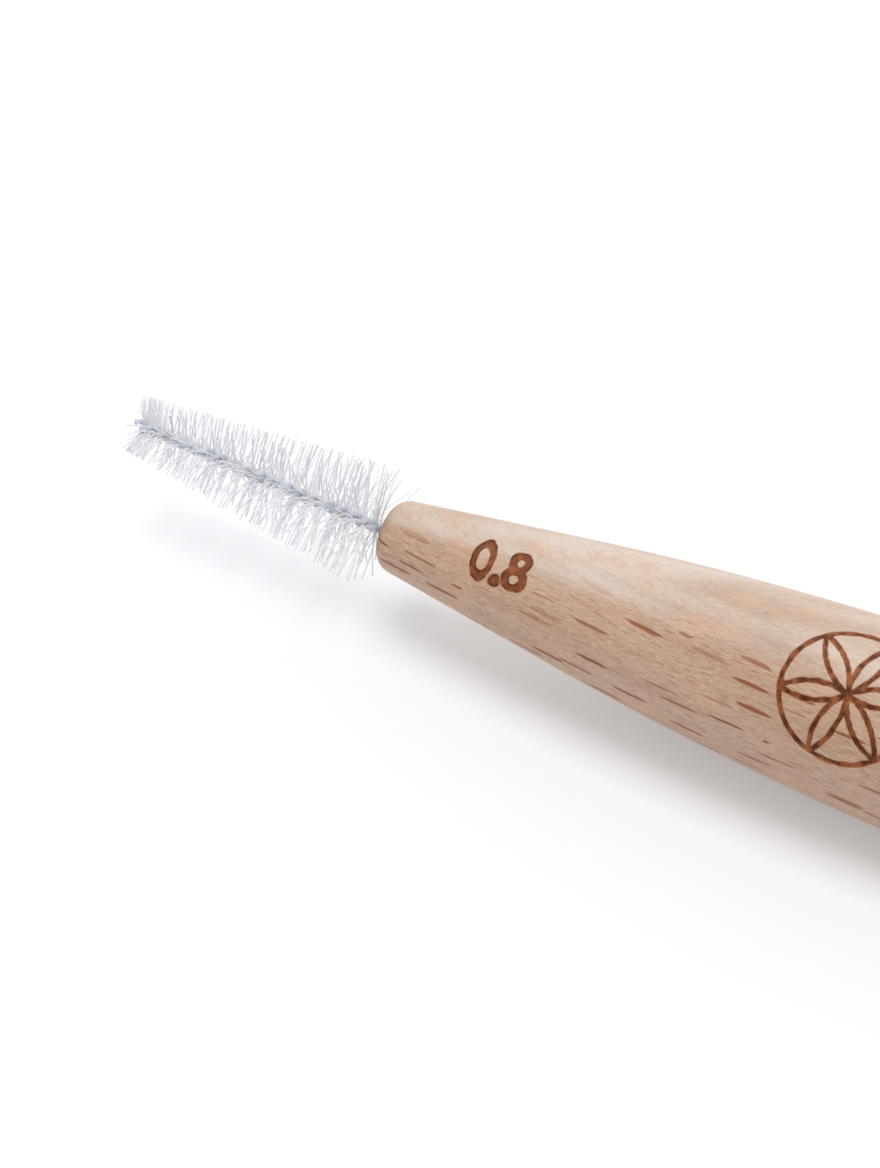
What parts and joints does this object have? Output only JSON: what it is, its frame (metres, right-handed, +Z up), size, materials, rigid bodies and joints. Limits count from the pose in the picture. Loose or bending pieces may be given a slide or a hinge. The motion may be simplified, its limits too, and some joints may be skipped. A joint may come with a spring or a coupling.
{
  "type": "interdental brush",
  "caption": "Slim turned wooden handle with a tapered nose that holds a short conical brush of nylon filaments in a twisted coated wire, for cleaning between teeth.",
  "frame": {"origin": "on the handle's axis, at the middle of the barrel, where the fingers hold it", "axes": "+X along the handle's axis from the brush tip to the butt, +Z up, the tool held level"},
  "size_m": [0.081, 0.01, 0.01],
  "materials": {
    "beech": "turned and sanded beech, bare, with brown ray flecks along the grain",
    "coated_wire": "stainless steel wire with a thin pale lavender-grey polymer coat",
    "nylon": "translucent white nylon monofilament, cut ends",
    "set_glue": "clear amber glue, set hard in the bore"
  },
  "bodies": {
    "root": {"core_wire": "coated_wire", "filament_fan_01": "nylon", "filament_fan_02": "nylon", "filament_fan_03": "nylon", "filament_fan_04": "nylon", "filament_fan_05": "nylon", "filament_fan_06": "nylon", "filament_fan_07": "nylon", "filament_fan_08": "nylon", "filament_fan_09": "nylon", "filament_fan_10": "nylon", "filament_fan_11": "nylon", "filament_fan_12": "nylon", "filament_fan_13": "nylon", "filament_fan_14": "nylon", "filament_fan_15": "nylon", "filament_fan_16": "nylon", "filament_fan_17": "nylon", "filament_fan_18": "nylon", "glue_sleeve": "set_glue", "handle": "beech"}
  },
  "joints": []
}
